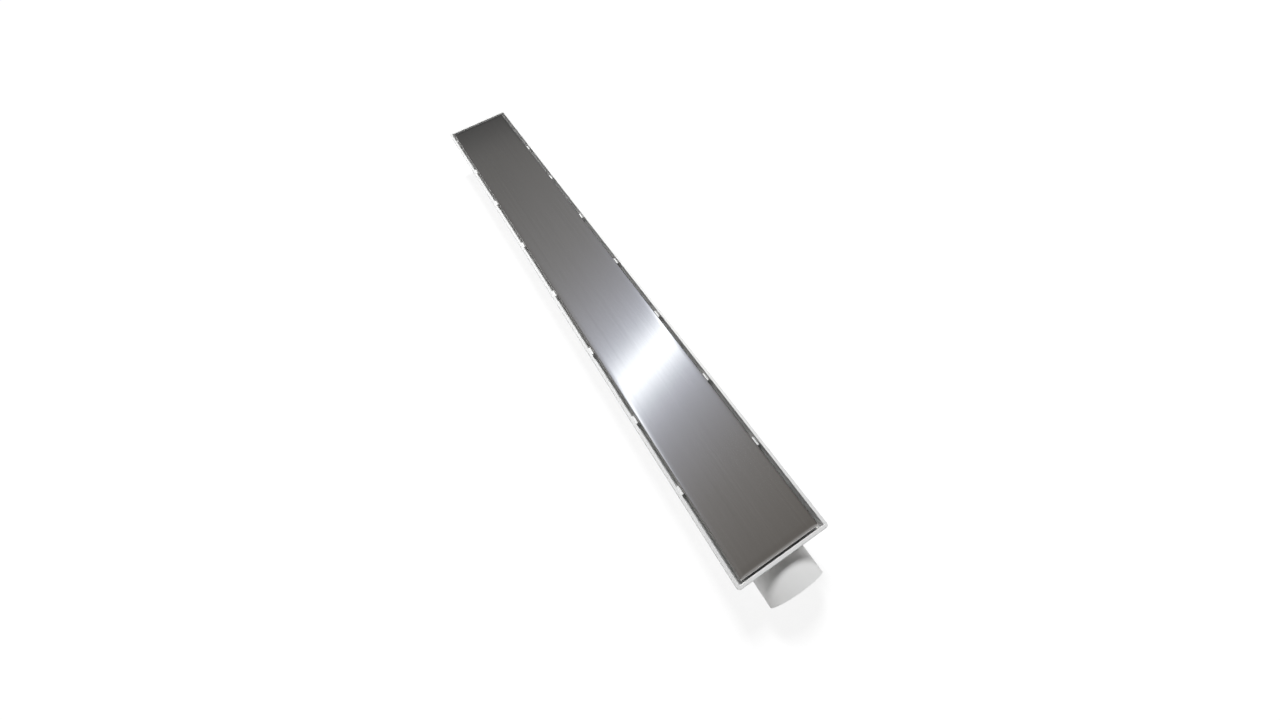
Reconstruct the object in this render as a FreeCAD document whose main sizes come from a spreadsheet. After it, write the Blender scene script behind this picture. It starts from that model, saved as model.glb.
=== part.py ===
"""Linear shower channel drain with a blind cover and a horizontal end outlet.

Frame: +X runs along the channel to the outlet, +Y across it, +Z up, millimetres.
Every piece is drawn about the middle of the channel, and its Placement then moves it so that
the origin lies on the subfloor under the middle of the whole drain, outlet socket included.
"""
import FreeCAD, Part
import math
import os
import Sketcher

# Driving sizes: name, value in millimetres (counts have no unit), what it measures.
SIZES = [
    ("channel_length", 700, "outer length of the rim"),
    ("channel_width", 90, "outer width of the rim"),
    ("channel_height", 68, "rim top above the subfloor"),
    ("rim_width", 3, "flat land of the rim round the opening"),
    ("rim_height", 3.5, "height of the rim's lip"),
    ("rim_corner_radius", 3, "outer corners of the rim in plan"),
    ("rim_edge_radius", 0.6, "rounding of the rim's top edges"),
    ("tray_corner_radius", 2, "outer corners of the tray in plan"),
    ("wall", 2, "wall of the moulding"),
    ("tray_depth", 12, "rim top to the ledge under the slot"),
    ("ledge_width", 6, "ledge between the tray wall and the trough"),
    ("trough_inner_radius", 5, "rounding inside the trough's floor"),
    ("sump_edge_radius", 2.5, "outer edges of the sump"),
    ("weir_height", 28, "overflow level above the subfloor"),
    ("floor_step", 0.5, "trough floor above the overflow level at the sump"),
    ("floor_fall", 5, "fall of the trough floor along its length"),
    ("sump_length", 86, "inside length of the sump"),
    ("outlet_height", 29.3, "outlet axis above the subfloor"),
    ("pipe_radius", 25, "outside radius of the drain pipe"),
    ("pipe_clearance", 0.15, "radial clearance round the pipe"),
    ("socket_wall", 1.5, "wall of the outlet socket"),
    ("socket_reach", 26.2, "socket mouth beyond the rim"),
    ("socket_depth", 30, "how far the pipe goes in"),
    ("socket_lead_in", 0.8, "chamfer inside the socket's mouth"),
    ("pipe_stop", 2.15, "shoulder that stops the pipe, measured radially"),
    ("window_height", 18, "height of the outlet window above the weir"),
    ("window_width", 43, "width of the outlet window"),
    ("spacer_length", 8.5, "length of a spacer tab along the channel"),
    ("spacer_pitch", 90, "distance between the inner spacer tabs"),
    ("spacer_end_pitch", 77, "distance from the last inner tab to the end tab"),
    ("spacer_shift", 5.5, "middle tab towards the outlet from mid-length"),
    ("inner_spacers", 5, "inner spacer tabs on each side"),
    ("spacer_drop", 5, "spacer top below the rim top"),
    ("seat_height", 3, "cover seat above the ledge"),
    ("cover_gap", 3, "water slot along the long sides"),
    ("cover_end_gap", 1.6, "water slot at the ends"),
    ("cover_clearance", 0.3, "cover to spacer tab"),
    ("sheet", 1, "thickness of the cover sheet"),
    ("cover_bend_radius", 2, "outside radius of the cover's folds"),
    ("corner_relief", 1.2, "open corner between two folded edges"),
    ("foot_pitch", 160, "distance between the cross feet"),
    ("feet", 4, "cross feet under the trough"),
    ("foot_inset", 8, "end of a cross foot inside the trough's outer wall"),
    ("foot_length", 14, "length of a foot's sole along the channel"),
    ("foot_web", 3, "thickness of a foot's web"),
    ("foot_sole", 2.5, "thickness of a foot's sole"),
    ("first_foot", 40, "far trough end to the first foot"),
    ("hood_length", 19, "hood chamber along the channel"),
    ("flange_band", 5.7, "hood flange beside the hood chamber"),
    ("hood_top", 50, "hood top above the subfloor"),
    ("hood_lip", 8, "lower lip of the hood above the subfloor"),
    ("hood_wall", 2, "wall of the hood"),
    ("hood_edge_radius", 1.5, "outer front edges of the hood"),
    ("flange_thickness", 2, "hood flange along the channel"),
    ("flange_height", 53, "top of the hood flange above the subfloor"),
    ("flange_clearance", 0.3, "hood flange to the trough's side walls"),
    ("seal_thickness", 2, "gasket along the channel"),
    ("seal_inset", 0.5, "gasket edge inside the flange edge"),
    ("guide_length", 3, "guide rib along the channel"),
    ("guide_clearance", 0.2, "guide rib to hood flange"),
    ("guide_height", 50, "top of the guide ribs above the subfloor"),
    ("guide_gap", 0.8, "guide rib to hood cheek"),
    ("grip_width", 26, "hood grip across the channel"),
    ("grip_thickness", 3, "hood grip along the channel"),
    ("grip_height", 11, "hood grip above the hood top"),
    ("grip_corner_radius", 5, "top corners of the hood grip"),
    ("strainer_thickness", 2, "strainer plate"),
    ("strainer_clearance", 0.5, "strainer plate to its neighbours"),
    ("strainer_rib_width", 3, "support rib under the strainer's edge"),
    ("strainer_rib_height", 2, "height of that support rib"),
    ("slot_width", 3, "width of a strainer slot"),
    ("slot_length", 24, "length of a strainer slot"),
    ("slot_pitch", 7, "distance between strainer slots"),
    ("slots_across", 9, "strainer slots in a row"),
    ("slot_bar", 5, "bar between the two rows of slots"),
    ("knob_radius", 5, "strainer knob"),
    ("knob_height", 9, "strainer knob above the plate"),
    ("knob_edge_radius", 2, "top edge of the strainer knob"),
]

# Lengths closer than this, in millimetres, count as equal when edges and faces are picked.
NEAR = 0.01

doc = FreeCAD.newDocument("channel_drain")
sheet = doc.addObject("Spreadsheet::Sheet", "size")
for row, (alias, value, meaning) in enumerate(SIZES, start=1):
    sheet.set(f"A{row}", alias)
    sheet.set(f"B{row}", str(value))
    sheet.set(f"C{row}", meaning)
    sheet.setAlias(f"B{row}", alias)
doc.recompute()


def half(expression):
    return f"({expression}) / 2"


# Places worked out from the driving sizes, as expressions that the sketches are bound to.
RIM_TOP = "size.channel_height"
LEDGE_TOP = "(size.channel_height - size.tray_depth)"
OPENING_LENGTH = "(size.channel_length - 2 * size.rim_width)"
OPENING_WIDTH = "(size.channel_width - 2 * size.rim_width)"
TROUGH_X = f"({OPENING_LENGTH} / 2 - size.ledge_width)"
TROUGH_Y = f"({OPENING_WIDTH} / 2 - size.ledge_width)"
SUMP_X = f"({TROUGH_X} - size.sump_length)"
FLOOR_LOW = "(size.weir_height + size.floor_step)"
FLOOR_HIGH = f"({FLOOR_LOW} + size.floor_fall)"
COVER_HALF_WIDTH = f"({OPENING_WIDTH} / 2 - size.cover_gap)"
COVER_HALF_LENGTH = f"({OPENING_LENGTH} / 2 - size.cover_end_gap)"
SPACER_Y = f"({COVER_HALF_WIDTH} + size.cover_clearance)"
SEAT_TOP = f"({LEDGE_TOP} + size.seat_height)"
BORE_RADIUS = "(size.pipe_radius + size.pipe_clearance)"
SOCKET_END = "(size.channel_length / 2 + size.socket_reach)"
PIPE_STOP_X = f"({SOCKET_END} - size.socket_depth)"
HOOD_Y = f"({TROUGH_Y} - size.flange_clearance - size.flange_band)"
SEAL_X = f"({TROUGH_X} - size.seal_thickness)"
FLANGE_X = f"({SEAL_X} - size.flange_thickness)"
HOOD_X = f"({FLANGE_X} - size.hood_length)"
GUIDE_X = f"({FLANGE_X} - size.guide_clearance)"
STRAINER_BOTTOM = f"({FLOOR_LOW} - size.strainer_thickness)"


def new_body(label):
    """An empty body that carries the node's name and sits in the drain's frame."""
    body = doc.addObject("PartDesign::Body", label)
    body.Label = label
    body.setExpression("Placement.Base.x", "-size.socket_reach / 2")
    return body


def new_sketch(body, name, plane, offset="0"):
    """A sketch on one of the body's own origin planes, moved along the plane's normal."""
    sketch = body.newObject("Sketcher::SketchObject", name)
    support = [item for item in body.Origin.OriginFeatures if item.Role == plane][0]
    sketch.AttachmentSupport = [(support, "")]
    sketch.MapMode = "FlatFace"
    sketch.setExpression("AttachmentOffset.Base.z", offset)
    return sketch


def pin_point(sketch, item, point, across, up):
    """Holds a point of the sketch at a place given by two expressions."""
    for direction, expression in (("DistanceX", across), ("DistanceY", up)):
        value = float(sketch.evalExpression(expression))
        index = sketch.addConstraint(Sketcher.Constraint(direction, -1, 1, item, point, value))
        sketch.setExpression(f"Constraints[{index}]", expression)


def add_outline(sketch, corners):
    """A closed outline of straight lines through corners given as pairs of expressions."""
    places = [
        FreeCAD.Vector(float(sketch.evalExpression(across)), float(sketch.evalExpression(up)), 0)
        for across, up in corners
    ]
    lines = []
    for start, end in zip(places, places[1:] + places[:1]):
        lines.append(sketch.addGeometry(Part.LineSegment(start, end)))
    for line, following in zip(lines, lines[1:] + lines[:1]):
        sketch.addConstraint(Sketcher.Constraint("Coincident", line, 2, following, 1))
    for line, (across, up) in zip(lines, corners):
        pin_point(sketch, line, 1, across, up)


def add_rectangle(sketch, left, right, bottom, top):
    add_outline(sketch, [(left, bottom), (right, bottom), (right, top), (left, top)])


def add_circle(sketch, across, up, radius):
    centre = FreeCAD.Vector(
        float(sketch.evalExpression(across)), float(sketch.evalExpression(up)), 0
    )
    size = float(sketch.evalExpression(radius))
    circle = sketch.addGeometry(Part.Circle(centre, FreeCAD.Vector(0, 0, 1), size))
    pin_point(sketch, circle, 3, across, up)
    index = sketch.addConstraint(Sketcher.Constraint("Radius", circle, size))
    sketch.setExpression(f"Constraints[{index}]", radius)


def add_slot(sketch, start, end, width, along_x=True):
    """A round-ended slot between two end centres given as pairs of expressions."""
    radius = float(sketch.evalExpression(half(width)))
    ends = []
    for across, up in (start, end):
        ends.append(
            FreeCAD.Vector(
                float(sketch.evalExpression(across)), float(sketch.evalExpression(up)), 0
            )
        )
    axis = FreeCAD.Vector(0, 0, 1)
    side = FreeCAD.Vector(0, radius, 0) if along_x else FreeCAD.Vector(-radius, 0, 0)
    quarter = math.pi / 2
    turn = 0 if along_x else quarter
    first = sketch.addGeometry(
        Part.ArcOfCircle(Part.Circle(ends[0], axis, radius), turn + quarter, turn + 3 * quarter)
    )
    second = sketch.addGeometry(
        Part.ArcOfCircle(Part.Circle(ends[1], axis, radius), turn - quarter, turn + quarter)
    )
    lower = sketch.addGeometry(Part.LineSegment(ends[0] - side, ends[1] - side))
    upper = sketch.addGeometry(Part.LineSegment(ends[1] + side, ends[0] + side))
    sketch.addConstraint(Sketcher.Constraint("Tangent", first, 2, lower, 1))
    sketch.addConstraint(Sketcher.Constraint("Tangent", lower, 2, second, 1))
    sketch.addConstraint(Sketcher.Constraint("Tangent", second, 2, upper, 1))
    sketch.addConstraint(Sketcher.Constraint("Tangent", upper, 2, first, 1))
    sketch.addConstraint(Sketcher.Constraint("Equal", first, second))
    pin_point(sketch, first, 3, *start)
    pin_point(sketch, second, 3, *end)
    index = sketch.addConstraint(Sketcher.Constraint("Radius", first, radius))
    sketch.setExpression(f"Constraints[{index}]", half(width))


def add_pad(body, name, sketch, length, symmetric=False):
    """Adds material along the sketch's normal, and checks that the volume grew."""
    return sweep_sketch(body, "PartDesign::Pad", name, sketch, length, symmetric, False)


def add_pocket(body, name, sketch, length, symmetric=False, reversed_way=False):
    """Takes material away against the sketch's normal, and checks that the volume shrank."""
    return sweep_sketch(body, "PartDesign::Pocket", name, sketch, length, symmetric, reversed_way)


def sweep_sketch(body, kind, name, sketch, length, symmetric, reversed_way):
    before = body.Shape.Volume if body.Tip else 0
    feature = body.newObject(kind, name)
    feature.Profile = sketch
    feature.Midplane = symmetric
    feature.Reversed = reversed_way
    feature.setExpression("Length", length)
    doc.recompute()
    change = body.Shape.Volume - before
    if (kind == "PartDesign::Pad") != (change > 0) or change == 0:
        raise ValueError(f"{body.Label}: {name} changed the volume by {change}")
    return feature


def add_pattern(body, name, feature, plane_axis, length, count):
    """Repeats a feature along one of the body's own origin axes."""
    pattern = body.newObject("PartDesign::LinearPattern", name)
    pattern.Originals = [feature]
    axis = [item for item in body.Origin.OriginFeatures if item.Role == plane_axis][0]
    pattern.Direction = (axis, [""])
    pattern.setExpression("Length", length)
    pattern.setExpression("Occurrences", count)
    body.Tip = pattern
    doc.recompute()
    return pattern


def dress_edges(body, kind, name, sizing, amount, chosen):
    """Fillets or chamfers the edges of the body's last feature for which chosen(edge) is true."""
    base = body.Tip
    edges = [
        f"Edge{number}"
        for number, edge in enumerate(base.Shape.Edges, start=1)
        if chosen(edge)
    ]
    if not edges:
        raise ValueError(f"{body.Label}: {name} found no edge")
    feature = body.newObject(kind, name)
    feature.Base = (base, edges)
    feature.setExpression(sizing, amount)
    doc.recompute()
    if not feature.isValid() or feature.Shape.isNull():
        raise ValueError(f"{body.Label}: {name} failed on {len(edges)} edges")
    return feature


def round_edges(body, name, radius, chosen):
    return dress_edges(body, "PartDesign::Fillet", name, "Radius", radius, chosen)


def chamfer_edges(body, name, size, chosen):
    return dress_edges(body, "PartDesign::Chamfer", name, "Size", size, chosen)


def hollow_out(body, name, thickness, open_level):
    """Leaves a sheet of even thickness inside the body's surface, open at one level face."""
    base = body.Tip
    faces = [
        f"Face{number}"
        for number, face in enumerate(base.Shape.Faces, start=1)
        if close(face.BoundBox.ZMax, open_level)
    ]
    shell = body.newObject("PartDesign::Thickness", name)
    shell.Base = (base, faces)
    shell.setExpression("Value", thickness)
    shell.Reversed = True
    doc.recompute()
    if not shell.isValid() or not shell.Shape.Volume < base.Shape.Volume:
        raise ValueError(f"{body.Label}: {name} is not hollow")
    return shell


def measure(expression):
    return float(sheet.evalExpression(expression))


def close(first, second):
    return abs(first - second) < NEAR


def is_vertical(edge):
    box = edge.BoundBox
    return box.XLength < NEAR and box.YLength < NEAR


def runs_along(edge):
    """True for an edge that follows the channel's length, on a slope or level."""
    box = edge.BoundBox
    return box.YLength < NEAR and box.XLength > box.ZLength


def make_channel_body():
    body = new_body("channel_body")
    wall_x = f"({TROUGH_X} + size.wall)"
    wall_y = f"({TROUGH_Y} + size.wall)"
    add_trough(body, wall_x, wall_y)
    add_feet(body, wall_y)
    add_tray_and_rim(body)
    add_socket(body, wall_x)
    cut_outlet(body, wall_x)
    add_spacers(body)
    add_hood_guides(body)
    add_strainer_ribs(body)
    return body


def add_trough(body, wall_x, wall_y):
    """The trough and its sump: a block seen from the side, hollowed to an even wall."""
    sump_outside = f"({SUMP_X} - size.wall)"
    sketch = new_sketch(body, "trough_side", "XZ_Plane")
    add_outline(sketch, [
        (f"-{wall_x}", LEDGE_TOP),
        (f"-{wall_x}", f"{FLOOR_HIGH} - size.wall"),
        (sump_outside, f"{FLOOR_LOW} - size.wall"),
        (sump_outside, "0"),
        (wall_x, "0"),
        (wall_x, LEDGE_TOP),
    ])
    add_pad(body, "trough_block", sketch, f"2 * {wall_y}", symmetric=True)
    sketch = new_sketch(body, "trough_inside", "XZ_Plane")
    add_outline(sketch, [
        (f"-{TROUGH_X}", LEDGE_TOP),
        (f"-{TROUGH_X}", FLOOR_HIGH),
        (SUMP_X, FLOOR_LOW),
        (SUMP_X, "size.wall"),
        (TROUGH_X, "size.wall"),
        (TROUGH_X, LEDGE_TOP),
    ])
    add_pocket(body, "trough", sketch, f"2 * {TROUGH_Y}", symmetric=True)

    def in_shallow_part(edge, end_x, side_y):
        """The long floor edges and the far end's edges of the inside or the outside."""
        box = edge.BoundBox
        low = box.ZMax < measure(LEDGE_TOP) - NEAR and box.ZMin > measure("size.wall") + NEAR
        along = runs_along(edge) and low and close(abs(box.YMin), side_y)
        upright = is_vertical(edge) and close(box.XMin, -end_x) and close(abs(box.YMin), side_y)
        across = close(box.XMin, -end_x) and box.XLength < NEAR and box.ZLength < NEAR and low
        return along or upright or across

    def round_sump(edge):
        box = edge.BoundBox
        on_side = close(abs(box.YMin), measure(wall_y))
        upright = is_vertical(edge) and box.ZMin < NEAR and on_side
        return upright or box.ZMax < NEAR

    round_edges(
        body,
        "inside_rounding",
        "size.trough_inner_radius",
        lambda edge: in_shallow_part(edge, measure(TROUGH_X), measure(TROUGH_Y)),
    )
    round_edges(
        body,
        "outside_rounding",
        "size.trough_inner_radius + size.wall",
        lambda edge: in_shallow_part(edge, measure(wall_x), measure(wall_y)),
    )
    round_edges(body, "sump_rounding", "size.sump_edge_radius", round_sump)


def add_feet(body, wall_y):
    """Moulded cross feet that hold the shallow end level, each as tall as the floor there."""
    fall = f"size.floor_fall / ({SUMP_X} + {TROUGH_X})"
    for number in range(int(measure("size.feet"))):
        place = f"(size.first_foot - {TROUGH_X} + {number} * size.foot_pitch)"
        top = f"({FLOOR_LOW} + ({SUMP_X} - {place}) * {fall} - size.wall / 2)"
        sketch = new_sketch(body, f"foot_{number}_side", "XZ_Plane")
        add_outline(sketch, [
            (f"{place} - size.foot_length / 2", "0"),
            (f"{place} + size.foot_length / 2", "0"),
            (f"{place} + size.foot_length / 2", "size.foot_sole"),
            (f"{place} + size.foot_web / 2", "size.foot_sole"),
            (f"{place} + size.foot_web / 2", top),
            (f"{place} - size.foot_web / 2", top),
            (f"{place} - size.foot_web / 2", "size.foot_sole"),
            (f"{place} - size.foot_length / 2", "size.foot_sole"),
        ])
        width = f"2 * ({wall_y} - size.foot_inset)"
        add_pad(body, f"foot_{number}", sketch, width, symmetric=True)


def add_tray_and_rim(body):
    """The ledge, the tray wall round the cover, and the lip of the rim on top of it."""
    lip_bottom = f"({RIM_TOP} - size.rim_height)"
    ledge_bottom = f"({LEDGE_TOP} - size.wall)"
    tray = (f"({OPENING_LENGTH} / 2 + size.wall)", f"({OPENING_WIDTH} / 2 + size.wall)")
    rim = ("(size.channel_length / 2)", "(size.channel_width / 2)")
    opening = (f"({OPENING_LENGTH} / 2)", f"({OPENING_WIDTH} / 2)")
    trough = (TROUGH_X, TROUGH_Y)
    rings = [
        ("ledge", tray, trough, ledge_bottom, LEDGE_TOP),
        ("tray_wall", tray, opening, LEDGE_TOP, lip_bottom),
        ("rim", rim, opening, lip_bottom, RIM_TOP),
    ]
    for name, outer, inner, bottom, top in rings:
        sketch = new_sketch(body, f"{name}_plan", "XY_Plane", bottom)
        for reach_x, reach_y in (outer, inner):
            add_rectangle(sketch, f"-{reach_x}", reach_x, f"-{reach_y}", reach_y)
        add_pad(body, name, sketch, f"{top} - {bottom}")

    def upright_at(edge, reach_y):
        return is_vertical(edge) and close(abs(edge.BoundBox.YMin), measure(reach_y))

    round_edges(
        body, "tray_corners", "size.tray_corner_radius", lambda edge: upright_at(edge, tray[1])
    )
    round_edges(
        body, "rim_corners", "size.rim_corner_radius", lambda edge: upright_at(edge, rim[1])
    )
    round_edges(
        body,
        "rim_top_rounding",
        "size.rim_edge_radius",
        lambda edge: close(edge.BoundBox.ZMin, measure(RIM_TOP)),
    )


def add_socket(body, wall_x):
    sketch = new_sketch(body, "socket_ring", "YZ_Plane", wall_x)
    add_circle(sketch, "0", "size.outlet_height", f"{BORE_RADIUS} + size.socket_wall")
    add_pad(body, "socket_tube", sketch, f"{SOCKET_END} - {wall_x}")


def cut_outlet(body, wall_x):
    """The pipe bore, the shoulder that stops the pipe, and the window above the weir."""
    sketch = new_sketch(body, "bore_ring", "YZ_Plane", SOCKET_END)
    add_circle(sketch, "0", "size.outlet_height", BORE_RADIUS)
    add_pocket(body, "pipe_bore", sketch, "size.socket_depth")

    def mouth_edge(edge):
        box = edge.BoundBox
        inner = close(box.ZLength / 2, measure(BORE_RADIUS))
        return inner and close(box.XMin, measure(SOCKET_END)) and box.XLength < NEAR

    chamfer_edges(body, "pipe_lead_in", "size.socket_lead_in", mouth_edge)
    sketch = new_sketch(body, "stop_ring", "YZ_Plane", PIPE_STOP_X)
    add_circle(sketch, "0", "size.outlet_height", f"{BORE_RADIUS} - size.pipe_stop")
    add_pocket(body, "stop_bore", sketch, f"{PIPE_STOP_X} - {wall_x}")
    sketch = new_sketch(body, "window_shape", "YZ_Plane", wall_x)
    reach = "(size.window_width - size.window_height) / 2"
    middle = "size.weir_height + size.window_height / 2"
    add_slot(sketch, (f"-{reach}", middle), (reach, middle), "size.window_height")
    add_pocket(body, "outlet_window", sketch, "size.wall")


def add_spacers(body):
    """Tabs that keep the water slot open: a post against the tray wall and a seat for the fold."""
    root = f"({OPENING_WIDTH} / 2 + size.wall / 2)"
    inner_row = "size.spacer_pitch * (size.inner_spacers - 1)"
    rows = [
        ("inner", inner_row, "size.inner_spacers"),
        ("end", f"({inner_row} + 2 * size.spacer_end_pitch)", "2"),
    ]
    for name, row_length, count in rows:
        start = f"(size.spacer_shift - {row_length} / 2 - size.spacer_length / 2)"
        sketch = new_sketch(body, f"{name}_spacer_shape", "YZ_Plane", start)
        for sign in ("", "-"):
            add_outline(sketch, [
                (f"{sign}{TROUGH_Y}", LEDGE_TOP),
                (f"{sign}{TROUGH_Y}", SEAT_TOP),
                (f"{sign}{SPACER_Y}", SEAT_TOP),
                (f"{sign}{SPACER_Y}", f"{RIM_TOP} - size.spacer_drop"),
                (f"{sign}{root}", f"{RIM_TOP} - size.spacer_drop"),
                (f"{sign}{root}", LEDGE_TOP),
            ])
        spacer = add_pad(body, f"{name}_spacer", sketch, "size.spacer_length")
        add_pattern(body, f"{name}_spacers", spacer, "X_Axis", row_length, count)


def add_hood_guides(body):
    """Two ribs on the sump's side walls that hold the hood's flange to the outlet wall."""
    root = f"({TROUGH_Y} + size.wall / 2)"
    tip = f"({HOOD_Y} + size.guide_gap)"
    floor = "size.wall / 2"
    sketch = new_sketch(body, "guide_plan", "XY_Plane", floor)
    for near_y, far_y in ((tip, root), (f"-{root}", f"-{tip}")):
        add_rectangle(sketch, f"{GUIDE_X} - size.guide_length", GUIDE_X, near_y, far_y)
    add_pad(body, "hood_guides", sketch, f"size.guide_height - {floor}")


def add_strainer_ribs(body):
    """A ledge on three sides of the sump that carries the strainer's edge."""
    rib_bottom = f"({STRAINER_BOTTOM} - size.strainer_rib_height)"
    root_x = f"({SUMP_X} - size.wall / 2)"
    root_y = f"({TROUGH_Y} + size.wall / 2)"
    end_x = f"({GUIDE_X} - size.guide_length)"
    inner_x = f"({SUMP_X} + size.strainer_rib_width)"
    inner_y = f"({TROUGH_Y} - size.strainer_rib_width)"
    sketch = new_sketch(body, "strainer_rib_plan", "XY_Plane", rib_bottom)
    add_outline(sketch, [
        (root_x, f"-{root_y}"),
        (end_x, f"-{root_y}"),
        (end_x, f"-{inner_y}"),
        (inner_x, f"-{inner_y}"),
        (inner_x, inner_y),
        (end_x, inner_y),
        (end_x, root_y),
        (root_x, root_y),
    ])
    add_pad(body, "strainer_rib", sketch, "size.strainer_rib_height")


def make_cover_plate():
    """One sheet, folded down on four sides, flush with the rim."""
    body = new_body("cover_plate")
    height = f"({RIM_TOP} - {SEAT_TOP})"
    sketch = new_sketch(body, "cover_plan", "XY_Plane", SEAT_TOP)
    add_rectangle(
        sketch, f"-{COVER_HALF_LENGTH}", COVER_HALF_LENGTH, f"-{COVER_HALF_WIDTH}", COVER_HALF_WIDTH
    )
    add_pad(body, "cover_block", sketch, height)
    round_edges(
        body,
        "outer_folds",
        "size.cover_bend_radius",
        lambda edge: close(edge.BoundBox.ZMin, measure(RIM_TOP)),
    )
    hollow_out(body, "folded_sheet", "size.sheet", measure(SEAT_TOP))
    sketch = new_sketch(body, "corner_plan", "XY_Plane", SEAT_TOP)
    inner_x = f"({COVER_HALF_LENGTH} - size.corner_relief)"
    inner_y = f"({COVER_HALF_WIDTH} - size.corner_relief)"
    outer_x = f"({COVER_HALF_LENGTH} + size.sheet)"
    outer_y = f"({COVER_HALF_WIDTH} + size.sheet)"
    for sign_x in ("", "-"):
        for sign_y in ("", "-"):
            add_outline(sketch, [
                (f"{sign_x}{inner_x}", f"{sign_y}{inner_y}"),
                (f"{sign_x}{outer_x}", f"{sign_y}{inner_y}"),
                (f"{sign_x}{outer_x}", f"{sign_y}{outer_y}"),
                (f"{sign_x}{inner_x}", f"{sign_y}{outer_y}"),
            ])
    add_pocket(
        body, "corner_reliefs", sketch, f"{height} - size.cover_bend_radius", reversed_way=True
    )
    return body


def make_trap_hood():
    """The lift-out hood: a chamber open below and towards the outlet, on a flange."""
    body = new_body("trap_hood")
    inner_y = f"({HOOD_Y} - size.hood_wall)"
    flange_y = f"({TROUGH_Y} - size.flange_clearance)"
    inner_top = "(size.hood_top - size.hood_wall)"
    sketch = new_sketch(body, "chamber_shape", "YZ_Plane", HOOD_X)
    add_rectangle(sketch, f"-{HOOD_Y}", HOOD_Y, "size.hood_lip", "size.hood_top")
    add_pad(body, "chamber_block", sketch, "size.hood_length")
    sketch = new_sketch(body, "flange_shape", "YZ_Plane", FLANGE_X)
    add_rectangle(sketch, f"-{flange_y}", flange_y, "size.wall", "size.flange_height")
    add_pad(body, "flange", sketch, "size.flange_thickness")
    grip_x = f"({HOOD_X} + size.hood_length / 2)"
    sketch = new_sketch(body, "grip_plan", "XY_Plane", inner_top)
    add_rectangle(
        sketch,
        f"{grip_x} - size.grip_thickness / 2",
        f"{grip_x} + size.grip_thickness / 2",
        f"-{half('size.grip_width')}",
        half("size.grip_width"),
    )
    add_pad(body, "grip", sketch, "size.grip_height + size.hood_wall")

    def grip_corner(edge):
        box = edge.BoundBox
        return (
            box.YLength < NEAR
            and box.ZLength < NEAR
            and close(box.ZMin, measure("size.hood_top + size.grip_height"))
        )

    def chamber_edge(edge):
        box = edge.BoundBox
        front = close(box.XMin, measure(HOOD_X)) and box.XLength < NEAR
        return front and not close(box.ZMax, measure("size.hood_lip"))

    round_edges(body, "grip_rounding", "size.grip_corner_radius", grip_corner)
    round_edges(body, "chamber_rounding", "size.hood_edge_radius", chamber_edge)
    sketch = new_sketch(body, "chamber_inside", "YZ_Plane", f"{HOOD_X} + size.hood_wall")
    add_rectangle(sketch, f"-{inner_y}", inner_y, "0", inner_top)
    add_pocket(body, "chamber", sketch, "size.hood_length + size.flange_thickness", reversed_way=True)
    return body


def make_trap_seal():
    """A flat rubber gasket, an inverted U between the hood's flange and the outlet wall."""
    body = new_body("trap_seal")
    outer_y = f"({TROUGH_Y} - size.flange_clearance - size.seal_inset)"
    inner_y = f"({HOOD_Y} - size.hood_wall + size.seal_inset)"
    outer_z = "(size.flange_height - size.seal_inset)"
    inner_z = "(size.hood_top - size.hood_wall + size.seal_inset)"
    sketch = new_sketch(body, "seal_shape", "YZ_Plane", SEAL_X)
    add_outline(sketch, [
        (f"-{outer_y}", "size.wall"),
        (f"-{inner_y}", "size.wall"),
        (f"-{inner_y}", inner_z),
        (inner_y, inner_z),
        (inner_y, "size.wall"),
        (outer_y, "size.wall"),
        (outer_y, outer_z),
        (f"-{outer_y}", outer_z),
    ])
    add_pad(body, "seal_band", sketch, "size.seal_thickness")
    return body


def make_strainer_plate():
    """The lift-out hair strainer, level with the trough floor and notched round the hood."""
    body = new_body("strainer_plate")
    start_x = f"({SUMP_X} + size.strainer_clearance)"
    end_x = f"({GUIDE_X} - size.guide_length - size.strainer_clearance)"
    notch_x = f"({HOOD_X} - size.strainer_clearance)"
    side_y = f"({TROUGH_Y} - size.strainer_clearance)"
    notch_y = f"({HOOD_Y} + size.strainer_clearance)"
    sketch = new_sketch(body, "strainer_plan", "XY_Plane", STRAINER_BOTTOM)
    add_outline(sketch, [
        (start_x, f"-{side_y}"),
        (end_x, f"-{side_y}"),
        (end_x, f"-{notch_y}"),
        (notch_x, f"-{notch_y}"),
        (notch_x, notch_y),
        (end_x, notch_y),
        (end_x, side_y),
        (start_x, side_y),
    ])
    add_pad(body, "strainer_block", sketch, "size.strainer_thickness")
    middle_x = half(f"{start_x} + {notch_x}")
    sketch = new_sketch(body, "knob_ring", "XY_Plane", STRAINER_BOTTOM)
    add_circle(sketch, middle_x, "0", "size.knob_radius")
    add_pad(body, "knob", sketch, "size.strainer_thickness + size.knob_height")
    round_edges(
        body,
        "knob_rounding",
        "size.knob_edge_radius",
        lambda edge: close(edge.BoundBox.ZMin, measure(f"{FLOOR_LOW} + size.knob_height")),
    )
    row_y = "(size.slot_pitch * (size.slots_across - 1) / 2)"
    near_end = f"({middle_x} + size.slot_bar / 2 + size.slot_width / 2)"
    far_end = f"({middle_x} + size.slot_bar / 2 + size.slot_length - size.slot_width / 2)"
    sketch = new_sketch(body, "slot_plan", "XY_Plane", FLOOR_LOW)
    add_slot(sketch, (near_end, f"-{row_y}"), (far_end, f"-{row_y}"), "size.slot_width")
    near_end = f"({middle_x} - size.slot_bar / 2 - size.slot_width / 2)"
    far_end = f"({middle_x} - size.slot_bar / 2 - size.slot_length + size.slot_width / 2)"
    add_slot(sketch, (far_end, f"-{row_y}"), (near_end, f"-{row_y}"), "size.slot_width")
    slots = add_pocket(body, "slot_pair", sketch, "size.strainer_thickness")
    row_length = "size.slot_pitch * (size.slots_across - 1)"
    add_pattern(body, "slot_rows", slots, "Y_Axis", row_length, "size.slots_across")
    return body


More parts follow.
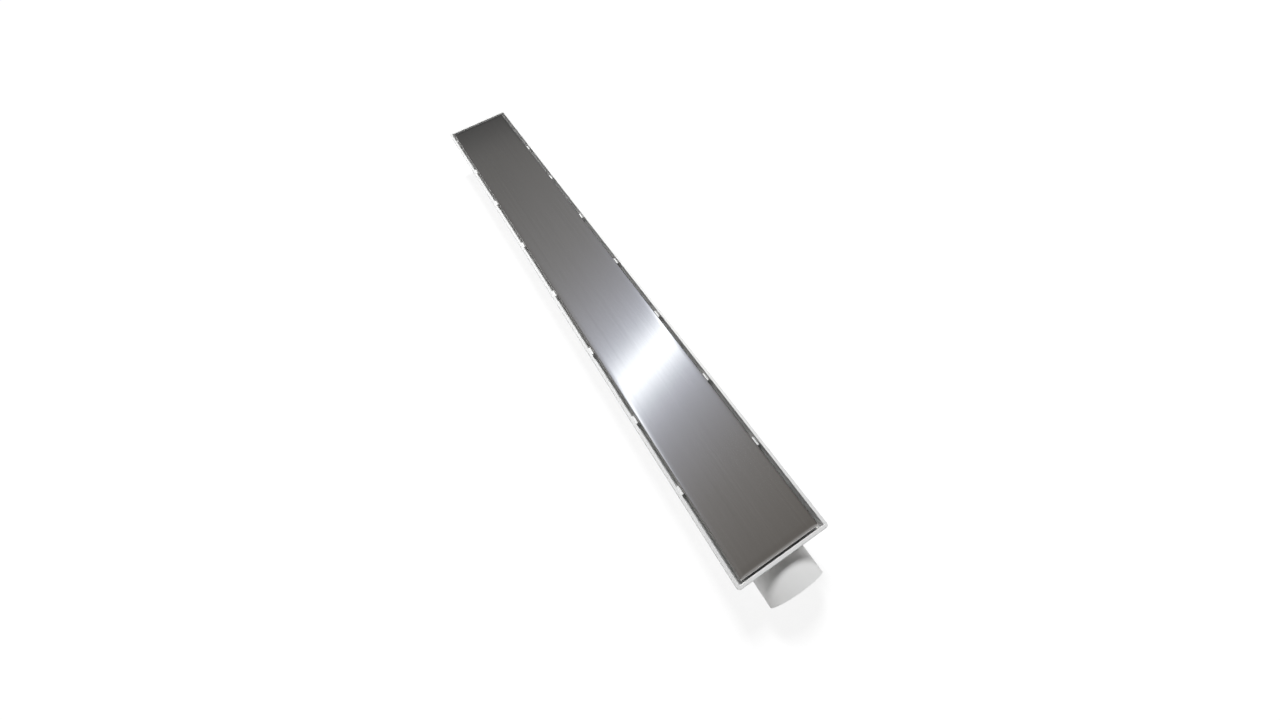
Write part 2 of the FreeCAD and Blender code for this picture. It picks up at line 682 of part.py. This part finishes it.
def check_document(nodes):
    for item in doc.Objects:
        if "Invalid" in item.State or "Error" in item.State:
            raise ValueError(f"{item.Name} failed: {item.State}")
    for node in nodes:
        if node.Shape.isNull() or not node.Shape.isValid():
            raise ValueError(f"{node.Label} has no valid shape")
        if len(node.Shape.Solids) != 1:
            raise ValueError(f"{node.Label} has {len(node.Shape.Solids)} solids")


nodes = [
    make_channel_body(),
    make_cover_plate(),
    make_trap_hood(),
    make_trap_seal(),
    make_strainer_plate(),
]
doc.recompute()
check_document(nodes)
os.makedirs("parts", exist_ok=True)
for node in nodes:
    node.Shape.exportStep(f"parts/{node.Label}.step")
    box = node.Shape.BoundBox
    print(node.Label, round(node.Shape.Volume), "mm3", box)
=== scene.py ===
"""Looks of a shower channel drain: brushed steel cover, white moulded channel, soft studio.

Everything is in metres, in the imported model's frame: +X towards the outlet, +Y across, +Z up.
"""

import math

import bmesh
import bpy
from mathutils import Matrix, Quaternion, Vector


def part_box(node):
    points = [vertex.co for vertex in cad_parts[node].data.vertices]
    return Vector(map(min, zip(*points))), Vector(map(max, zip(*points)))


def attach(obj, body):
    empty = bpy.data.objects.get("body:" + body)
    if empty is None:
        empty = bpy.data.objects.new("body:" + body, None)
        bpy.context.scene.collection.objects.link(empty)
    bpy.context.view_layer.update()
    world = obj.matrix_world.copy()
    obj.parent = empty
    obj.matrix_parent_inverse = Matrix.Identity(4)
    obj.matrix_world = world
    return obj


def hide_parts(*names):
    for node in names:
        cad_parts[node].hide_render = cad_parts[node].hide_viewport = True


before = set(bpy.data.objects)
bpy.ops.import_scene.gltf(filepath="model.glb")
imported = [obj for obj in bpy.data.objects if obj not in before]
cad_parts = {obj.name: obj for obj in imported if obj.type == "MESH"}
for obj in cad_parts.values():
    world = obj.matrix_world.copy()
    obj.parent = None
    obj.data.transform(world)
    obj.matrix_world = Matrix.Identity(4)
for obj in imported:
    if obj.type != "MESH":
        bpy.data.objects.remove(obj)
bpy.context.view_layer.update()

MM = 0.001

# Camera: where it stands, what it looks at, how far it is turned about its own axis.
CAMERA_PLACE = Vector((0.30735, -0.07561, 0.44117))
CAMERA_AIM = Vector((0.12287, -0.00433, 0.068))
CAMERA_ROLL = math.radians(11.37)
CAMERA_LENS = 11.793
CAMERA_CLIP = 0.01
SENSOR_WIDTH = 36.0

# Key lamp: a softbox above the channel, a little to one side. Gloss doesn't see it.
LAMP_PLACE = Vector((-0.32, 0.15, 1.04))
LAMP_AIM = Vector((0.13, 0.0, 0.068))
LAMP_ALONG = Vector((0.0, 1.0, 0.0))
LAMP_LENGTH = 0.25
LAMP_WIDTH = 0.28
LAMP_POWER = 11.2
LAMP_COLOUR = (0.985, 0.99, 1.0)

# Sky that gloss sees, from the outlet end's horizon (0) over the top (0.5) to the far one (1).
SKY_STOPS = [
    (0.20, (0.390, 0.385, 0.380)),
    (0.38, (0.390, 0.385, 0.380)),
    (0.46, (0.175, 0.164, 0.152)),
    (0.50, (0.188, 0.177, 0.164)),
    (0.62, (0.212, 0.205, 0.198)),
    (0.66, (0.240, 0.234, 0.230)),
    (0.69, (0.275, 0.272, 0.274)),
    (0.71, (0.238, 0.234, 0.232)),
    (0.795, (0.207, 0.204, 0.200)),
    (0.825, (0.198, 0.196, 0.193)),
    (0.832, (0.100, 0.100, 0.100)),
    (0.843, (0.085, 0.085, 0.085)),
    (0.885, (0.085, 0.085, 0.085)),
    (0.93, (0.30, 0.30, 0.30)),
]
# A white horizon all round: sine of the elevation, and what it adds.
HORIZON_STOPS = [(0.02, (0.8, 0.8, 0.8)), (0.16, (0.0, 0.0, 0.0))]
# One side of the sky is darker: the shares of its light there, from the first to the second of
# two sines of the angle towards +Y.
SKY_SIDE = (1.0, 0.55, 0.55, 0.80)
# Strip light that gloss sees: sine of the angle off its middle line, and the light there.
STRIP_STOPS = [
    (0.00, (0.93, 0.97, 1.0)),
    (0.025, (0.89, 0.94, 1.0)),
    (0.052, (0.31, 0.34, 0.41)),
    (0.095, (0.173, 0.186, 0.225)),
    (0.155, (0.105, 0.112, 0.134)),
    (0.230, (0.064, 0.067, 0.077)),
    (0.300, (0.036, 0.037, 0.040)),
    (0.500, (0.0, 0.0, 0.0)),
]
STRIP_DIRECTION = Vector((-0.423, 0.180, 0.888))
STRIP_ALONG = Vector((-0.33, 0.944, 0.0)).normalized()
STRIP_LEVEL = 2.2
# It fades out at both ends, each between two sines of the angle along it.
STRIP_FADE_LEFT = (-0.45, -0.30)
STRIP_FADE_RIGHT = (0.75, 0.95)
# Fill light: its tint, its strength at the horizon and overhead, and the sines of the elevation
# between which it falls off.
FILL_TINT = (1.0, 0.99, 0.98)
FILL_HORIZON = 1.5
FILL_TOP = 0.05
FILL_RISE = (0.10, 0.25)
# What is seen straight behind the object.
BACKDROP = (1.0, 1.0, 1.0, 1.0)

# Stainless steel: how fine its patterns are along the channel, across it and in height.
FINE_LINES = (12.0, 5200.0, 5200.0)
COARSE_LINES = (5.0, 900.0, 900.0)
SHEET_WAVES = (9.0, 30.0, 30.0)
FINE_SHARE = 0.7
STEEL_TINTS = [(0.3, (0.58, 0.57, 0.56)), (0.7, (0.66, 0.65, 0.64))]
STEEL_ROUGHNESS = (0.15, 0.19)
STEEL_CLOUDING = (-0.01, 0.01)
STEEL_ANISOTROPY = 0.8
STEEL_LINE_DEPTH = 0.004 * MM
STEEL_WAVE_DEPTH = 0.02 * MM

# Moulded plastic: its two kinds, then its mould texture, flow marks along the channel, mottling.
WHITE_PLASTIC = {"colour": (0.93, 0.93, 0.92), "shade": (0.90, 0.90, 0.89), "roughness": 0.42}
GREY_PLASTIC = {"colour": (0.62, 0.63, 0.64), "shade": (0.58, 0.59, 0.60), "roughness": 0.46}
PLASTIC_GRAIN = 1400.0
PLASTIC_GRAIN_DEPTH = 0.02 * MM
PLASTIC_GRAIN_STRENGTH = 0.6
PLASTIC_FLOW = (14.0, 60.0, 60.0)
PLASTIC_FLOW_DEPTH = 0.05 * MM
PLASTIC_MOTTLE = 35.0
PLASTIC_FLOW_SHARE = 0.5
PLASTIC_TINT_PLACES = (0.35, 0.65)
PLASTIC_ROUGHNESS_SPREAD = (-0.05, 0.06)

# Rubber: bloom on the surface, fine grain.
RUBBER_BLOOM = 60.0
RUBBER_GRAIN = 2200.0
RUBBER_GRAIN_DEPTH = 0.02 * MM
RUBBER_GRAIN_STRENGTH = 0.5
RUBBER_TINTS = [(0.4, (0.022, 0.022, 0.023)), (0.7, (0.045, 0.045, 0.047))]
RUBBER_ROUGHNESS = (0.6, 0.78)

# Cover: its top dips a little towards the long sides, then folds down into the skirts, which
# stop short of the corners by the relief.
COVER_DIP_REACH = 3.4 * MM
COVER_DIP_ANGLE = math.radians(6)
COVER_SIDE_BEND = 1.7 * MM
COVER_END_BEND = 2.4 * MM
COVER_SHEET = 1.0 * MM
COVER_RELIEF = 0.5 * MM
COVER_DIP_STEPS = 8
COVER_BEND_STEPS = 10
COVER_LONG_STEPS = 120
COVER_CROSS_STEPS = 16

# Floor: its grey for the light it returns, its grey and glow where it is seen, and the
# distances from the origin between which the glow rises.
FLOOR_SIZE = 14.0
FLOOR_DROP = 0.2 * MM
FLOOR_GREY = 0.80
FLOOR_SEEN_GREY = 0.25
FLOOR_GLOW = (0.88, 1.0)
FLOOR_GLOW_REACH = (0.45, 1.1)


class Shader:
    """A small helper round one node tree."""

    def __init__(self, tree):
        self.tree = tree
        tree.nodes.clear()

    def node(self, kind, links=None, **settings):
        made = self.tree.nodes.new(kind)
        for name, value in settings.items():
            setattr(made, name, value)
        for socket, value in (links or {}).items():
            self.connect(made, socket, value)
        return made

    def connect(self, node, socket, value):
        if isinstance(value, bpy.types.NodeSocket):
            self.tree.links.new(value, node.inputs[socket])
        else:
            node.inputs[socket].default_value = value

    def math(self, operation, first, second=0.0):
        return self.node("ShaderNodeMath", {0: first, 1: second}, operation=operation).outputs[0]

    def mixed(self, first, second, share):
        """Two numbers mixed, with this share of the first."""
        return self.math(
            "ADD", self.math("MULTIPLY", first, share), self.math("MULTIPLY", second, 1 - share)
        )

    def vector(self, operation, first, second=(0.0, 0.0, 0.0)):
        made = self.node("ShaderNodeVectorMath", {0: first, 1: second}, operation=operation)
        return made.outputs[0]

    def scaled(self, vector, scale):
        made = self.node("ShaderNodeVectorMath", {0: vector, "Scale": scale}, operation="SCALE")
        return made.outputs[0]

    def ramp(self, factor, stops):
        made = self.node("ShaderNodeValToRGB", {0: factor})
        ramp = made.color_ramp
        while len(ramp.elements) < len(stops):
            ramp.elements.new(1.0)
        for element, (place, colour) in zip(ramp.elements, stops):
            element.position = place
            element.color = (*colour, 1.0)
        return made.outputs[0]

    def spread(self, factor, low, high, start=0.0, end=1.0):
        """Maps start..end to low..high."""
        made = self.node(
            "ShaderNodeMapRange", {0: factor, 1: start, 2: end, 3: low, 4: high}
        )
        return made.outputs[0]

    def dot(self, first, second):
        made = self.node("ShaderNodeVectorMath", {0: first, 1: second}, operation="DOT_PRODUCT")
        return made.outputs["Value"]

    def length(self, vector):
        made = self.node("ShaderNodeVectorMath", {0: vector}, operation="LENGTH")
        return made.outputs["Value"]

    def place(self, scale=(1.0, 1.0, 1.0)):
        """Object coordinates times a scale on each axis."""
        where = self.node("ShaderNodeTexCoord").outputs["Object"]
        return self.vector("MULTIPLY", where, scale)

    def noise(self, place, scale, detail=2.0, roughness=0.5):
        made = self.node(
            "ShaderNodeTexNoise",
            {"Vector": place, "Scale": scale, "Detail": detail, "Roughness": roughness},
        )
        return made.outputs["Fac"]

    def bump(self, height, distance, strength=1.0, normal=None):
        links = {"Height": height, "Distance": distance, "Strength": strength}
        if normal is not None:
            links["Normal"] = normal
        return self.node("ShaderNodeBump", links).outputs[0]


def new_material(name):
    made = bpy.data.materials.new(name)
    made.use_nodes = True
    return made, Shader(made.node_tree)


def principled(shader, links):
    surface = shader.node("ShaderNodeBsdfPrincipled", links)
    shader.node("ShaderNodeOutputMaterial", {"Surface": surface.outputs[0]})


def brushed_stainless():
    """Satin sheet: fine lines along the channel, and a surface that is never quite flat."""
    made, shader = new_material("brushed_stainless")
    fine = shader.noise(shader.place(FINE_LINES), 1.0, detail=3.0, roughness=0.6)
    coarse = shader.noise(shader.place(COARSE_LINES), 1.0)
    cloud = shader.noise(shader.place(SHEET_WAVES), 1.0)
    lines = shader.mixed(fine, coarse, FINE_SHARE)
    tint = shader.ramp(lines, STEEL_TINTS)
    roughness = shader.math(
        "ADD", shader.spread(lines, *STEEL_ROUGHNESS), shader.spread(cloud, *STEEL_CLOUDING)
    )
    normal = shader.node("ShaderNodeNewGeometry").outputs["Normal"]
    across = shader.vector("CROSS_PRODUCT", normal, (1.0, 0.0, 0.0))
    tangent = shader.vector("NORMALIZE", across)
    waves = shader.bump(cloud, STEEL_WAVE_DEPTH)
    principled(shader, {
        "Base Color": tint,
        "Metallic": 1.0,
        "Roughness": roughness,
        "Anisotropic": STEEL_ANISOTROPY,
        "Tangent": tangent,
        "Normal": shader.bump(lines, STEEL_LINE_DEPTH, normal=waves),
    })
    return made


def moulded_plastic(name, colour, shade, roughness):
    """Matt moulded plastic: an eroded mould texture, faint flow marks and a little mottling."""
    made, shader = new_material(name)
    grains = shader.noise(shader.place(), PLASTIC_GRAIN)
    flow = shader.noise(shader.place(PLASTIC_FLOW), 1.0, detail=3.0)
    mottle = shader.noise(shader.place(), PLASTIC_MOTTLE, detail=3.0)
    patches = shader.mixed(flow, mottle, PLASTIC_FLOW_SHARE)
    tints = list(zip(PLASTIC_TINT_PLACES, (shade, colour)))
    smoother, rougher = (roughness + change for change in PLASTIC_ROUGHNESS_SPREAD)
    flowing = shader.bump(flow, PLASTIC_FLOW_DEPTH)
    principled(shader, {
        "Base Color": shader.ramp(patches, tints),
        "Roughness": shader.spread(grains, smoother, rougher),
        "Normal": shader.bump(grains, PLASTIC_GRAIN_DEPTH, PLASTIC_GRAIN_STRENGTH, flowing),
    })
    return made


def seal_rubber():
    """Matt dark rubber with a faint bloom."""
    made, shader = new_material("seal_rubber")
    bloom = shader.noise(shader.place(), RUBBER_BLOOM, detail=4.0)
    grains = shader.noise(shader.place(), RUBBER_GRAIN)
    principled(shader, {
        "Base Color": shader.ramp(bloom, RUBBER_TINTS),
        "Roughness": shader.spread(bloom, *RUBBER_ROUGHNESS),
        "Normal": shader.bump(grains, RUBBER_GRAIN_DEPTH, RUBBER_GRAIN_STRENGTH),
    })
    return made


def edge_stations(half_length, bend_radius, dip_reach, dip_angle, plain_steps):
    """Places along one axis, close together at the folds, and how far the sheet drops there."""
    dip_start = half_length - bend_radius * (1 - math.sin(dip_angle)) - dip_reach
    edge = []
    if dip_reach:
        curve = math.tan(dip_angle) / (2 * dip_reach)
        for step in range(1, COVER_DIP_STEPS + 1):
            reach = dip_reach * step / COVER_DIP_STEPS
            edge.append((dip_start + reach, curve * reach**2))
    dip_end, dip_drop = edge[-1] if edge else (dip_start, 0.0)
    for step in range(1, COVER_BEND_STEPS + 1):
        turn = dip_angle + (math.pi / 2 - dip_angle) * step / COVER_BEND_STEPS
        edge.append((
            dip_end + bend_radius * (math.sin(turn) - math.sin(dip_angle)),
            dip_drop + bend_radius * (math.cos(dip_angle) - math.cos(turn)),
        ))
    plain = [(dip_start * (2 * step / plain_steps - 1), 0.0) for step in range(plain_steps + 1)]
    mirrored = [(-place, drop) for place, drop in reversed(edge)]
    return mirrored + plain + edge


def make_cover_sheet():
    """The cover as one folded sheet: a flat top that rolls over into four skirts."""
    low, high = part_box("cover_plate")
    middle = (low + high) / 2
    half_x = (high.x - low.x) / 2
    half_y = (high.y - low.y) / 2
    columns = edge_stations(half_x, COVER_END_BEND, 0.0, 0.0, COVER_LONG_STEPS)
    rows = edge_stations(
        half_y, COVER_SIDE_BEND, COVER_DIP_REACH, COVER_DIP_ANGLE, COVER_CROSS_STEPS
    )
    work = bmesh.new()
    grid = []
    for x, drop_x in columns:
        line = []
        for y, drop_y in rows:
            line.append(work.verts.new((middle.x + x, y, high.z - max(drop_x, drop_y))))
        grid.append(line)
    for near_line, far_line in zip(grid, grid[1:]):
        for corners in zip(near_line, near_line[1:], far_line[1:], far_line):
            work.faces.new(corners)
    add_skirts(work, grid, low.z, half_x, half_y, middle.x)
    bmesh.ops.recalc_face_normals(work, faces=work.faces)
    if grid[len(columns) // 2][len(rows) // 2].normal.z < 0:
        bmesh.ops.reverse_faces(work, faces=work.faces)
    for face in work.faces:
        face.smooth = True
    mesh = bpy.data.meshes.new("cover_sheet")
    work.to_mesh(mesh)
    work.free()
    sheet = bpy.data.objects.new("cover_sheet", mesh)
    bpy.context.scene.collection.objects.link(sheet)
    mesh.materials.append(FINISHES["brushed_stainless"])
    solid = sheet.modifiers.new("thickness", "SOLIDIFY")
    solid.thickness = COVER_SHEET
    solid.offset = -1.0
    solid.use_even_offset = True
    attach(sheet, "root")
    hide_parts("cover_plate")


def add_skirts(work, grid, bottom, half_x, half_y, middle_x):
    """Hangs the four skirts from the sheet's edge, open at the corners."""
    edges = [
        grid[0],
        [line[-1] for line in grid],
        grid[-1][::-1],
        [line[0] for line in grid][::-1],
    ]
    for edge in edges:
        hung = []
        for vert in edge:
            in_corner = (
                abs(vert.co.x - middle_x) > half_x - COVER_RELIEF
                and abs(vert.co.y) > half_y - COVER_RELIEF
            )
            if not in_corner:
                hung.append((vert, work.verts.new((vert.co.x, vert.co.y, bottom))))
        for (top, foot), (next_top, next_foot) in zip(hung, hung[1:]):
            work.faces.new((top, foot, next_foot, next_top))


FINISHES = {
    "white_plastic": moulded_plastic("white_plastic", **WHITE_PLASTIC),
    "brushed_stainless": brushed_stainless(),
    "grey_plastic": moulded_plastic("grey_plastic", **GREY_PLASTIC),
    "seal_rubber": seal_rubber(),
}
NODE_FINISH = {
    "channel_body": "white_plastic",
    "cover_plate": "brushed_stainless",
    "trap_hood": "grey_plastic",
    "strainer_plate": "grey_plastic",
    "trap_seal": "seal_rubber",
}


def finish_node(name):
    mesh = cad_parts[name].data
    mesh.materials.clear()
    mesh.materials.append(FINISHES[NODE_FINISH[name]])


def choose(shader, factor, first, second):
    """The colour first where factor is 0, second where it is 1."""
    mixed = shader.node(
        "ShaderNodeMix", {0: factor, 6: first, 7: second}, data_type="RGBA"
    )
    return mixed.outputs[2]


def strip_light(shader, direction):
    """A long soft band across the sky, up and towards the channel's far end."""
    off_middle = STRIP_DIRECTION.cross(STRIP_ALONG).normalized()
    off = shader.math("ABSOLUTE", shader.dot(direction, off_middle))
    along = shader.dot(direction, STRIP_ALONG)
    left = shader.spread(along, 0.0, STRIP_LEVEL, *STRIP_FADE_LEFT)
    right = shader.spread(along, 1.0, 0.0, *STRIP_FADE_RIGHT)
    fade = shader.math("MULTIPLY", left, right)
    above = shader.math("GREATER_THAN", shader.dot(direction, (0.0, 0.0, 1.0)), 0.0)
    level = shader.math("MULTIPLY", fade, above)
    return shader.scaled(shader.ramp(off, STRIP_STOPS), level)


def make_world():
    """White behind the object, a grey sky over a white horizon for gloss, fill for the rest."""
    world = bpy.data.worlds.new("studio")
    world.use_nodes = True
    bpy.context.scene.world = world
    shader = Shader(world.node_tree)
    direction = shader.node("ShaderNodeTexCoord").outputs["Generated"]
    parts = shader.node("ShaderNodeSeparateXYZ", {0: direction}).outputs
    lengthwise = shader.math("ARCTAN2", parts["Z"], parts["X"])
    over_top = shader.math("DIVIDE", lengthwise, math.pi)
    path = shader.node("ShaderNodeLightPath").outputs
    mirrored = shader.math("MAXIMUM", path["Is Glossy Ray"], path["Is Transmission Ray"])
    side = shader.spread(parts["Y"], *SKY_SIDE)
    sky = shader.scaled(shader.ramp(over_top, SKY_STOPS), side)
    sky = shader.vector("ADD", sky, shader.ramp(parts["Z"], HORIZON_STOPS))
    sky = shader.vector("ADD", sky, strip_light(shader, direction))
    fill = shader.scaled(FILL_TINT, shader.spread(parts["Z"], FILL_HORIZON, FILL_TOP, *FILL_RISE))
    indirect = choose(shader, mirrored, fill, sky)
    seen = choose(shader, path["Is Camera Ray"], indirect, BACKDROP)
    background = shader.node("ShaderNodeBackground", {"Color": seen})
    shader.node("ShaderNodeOutputWorld", {"Surface": background.outputs[0]})


def floor_material():
    """White where it is seen, with the object's shadow kept, plain for the light it returns,
    and clear from below, where the object's underside is looked at.
    """
    made, shader = new_material("studio_floor")
    path = shader.node("ShaderNodeLightPath").outputs
    either = shader.math("MAXIMUM", path["Is Camera Ray"], path["Is Glossy Ray"])
    seen = shader.math("MAXIMUM", either, path["Is Transmission Ray"])
    plain = shader.node("ShaderNodeBsdfDiffuse", {"Color": (*(FLOOR_GREY,) * 3, 1.0)})
    shaded = shader.node("ShaderNodeBsdfDiffuse", {"Color": (*(FLOOR_SEEN_GREY,) * 3, 1.0)})
    away = shader.length(shader.node("ShaderNodeTexCoord").outputs["Object"])
    level = shader.spread(away, *FLOOR_GLOW, *FLOOR_GLOW_REACH)
    glow = shader.node("ShaderNodeEmission", {"Strength": level})
    bright = shader.node("ShaderNodeAddShader", {0: shaded.outputs[0], 1: glow.outputs[0]})
    above = shader.node(
        "ShaderNodeMixShader", {0: seen, 1: plain.outputs[0], 2: bright.outputs[0]}
    )
    below = shader.node("ShaderNodeNewGeometry").outputs["Backfacing"]
    clear = shader.node("ShaderNodeBsdfTransparent")
    surface = shader.node(
        "ShaderNodeMixShader", {0: below, 1: above.outputs[0], 2: clear.outputs[0]}
    )
    shader.node("ShaderNodeOutputMaterial", {"Surface": surface.outputs[0]})
    return made


def make_floor():
    mesh = bpy.data.meshes.new("floor")
    reach = FLOOR_SIZE / 2
    corners = [
        (x * reach, y * reach, -FLOOR_DROP) for x, y in ((-1, -1), (1, -1), (1, 1), (-1, 1))
    ]
    mesh.from_pydata(corners, [], [(0, 1, 2, 3)])
    mesh.materials.append(floor_material())
    floor = bpy.data.objects.new("floor", mesh)
    bpy.context.scene.collection.objects.link(floor)


def aimed(place, aim, along):
    """A matrix at place whose -Z axis points at aim and whose X axis lies along a direction."""
    back = (place - aim).normalized()
    side = (along - along.project(back)).normalized()
    up = back.cross(side)
    turn = Matrix((side, up, back)).transposed()
    return Matrix.Translation(place) @ turn.to_4x4()


def make_lamp():
    data = bpy.data.lights.new("key_softbox", "AREA")
    data.shape = "RECTANGLE"
    data.size = LAMP_LENGTH
    data.size_y = LAMP_WIDTH
    data.energy = LAMP_POWER
    data.color = LAMP_COLOUR
    lamp = bpy.data.objects.new("key_softbox", data)
    bpy.context.scene.collection.objects.link(lamp)
    lamp.matrix_world = aimed(LAMP_PLACE, LAMP_AIM, LAMP_ALONG)
    lamp.visible_glossy = False


def make_camera():
    data = bpy.data.cameras.new("camera")
    data.sensor_width = SENSOR_WIDTH
    data.lens = CAMERA_LENS
    data.clip_start = CAMERA_CLIP
    camera = bpy.data.objects.new("camera", data)
    bpy.context.scene.collection.objects.link(camera)
    forward = (CAMERA_AIM - CAMERA_PLACE).normalized()
    level = aimed(CAMERA_PLACE, CAMERA_AIM, forward.cross(Vector((0, 0, 1))))
    roll = Quaternion(forward, CAMERA_ROLL).to_matrix().to_4x4()
    camera.matrix_world = Matrix.Translation(CAMERA_PLACE) @ roll @ level.to_3x3().to_4x4()
    bpy.context.scene.camera = camera


for name in NODE_FINISH:
    finish_node(name)
make_cover_sheet()
make_world()
make_floor()
make_lamp()
make_camera()
bpy.context.scene.view_settings.view_transform = "Standard"
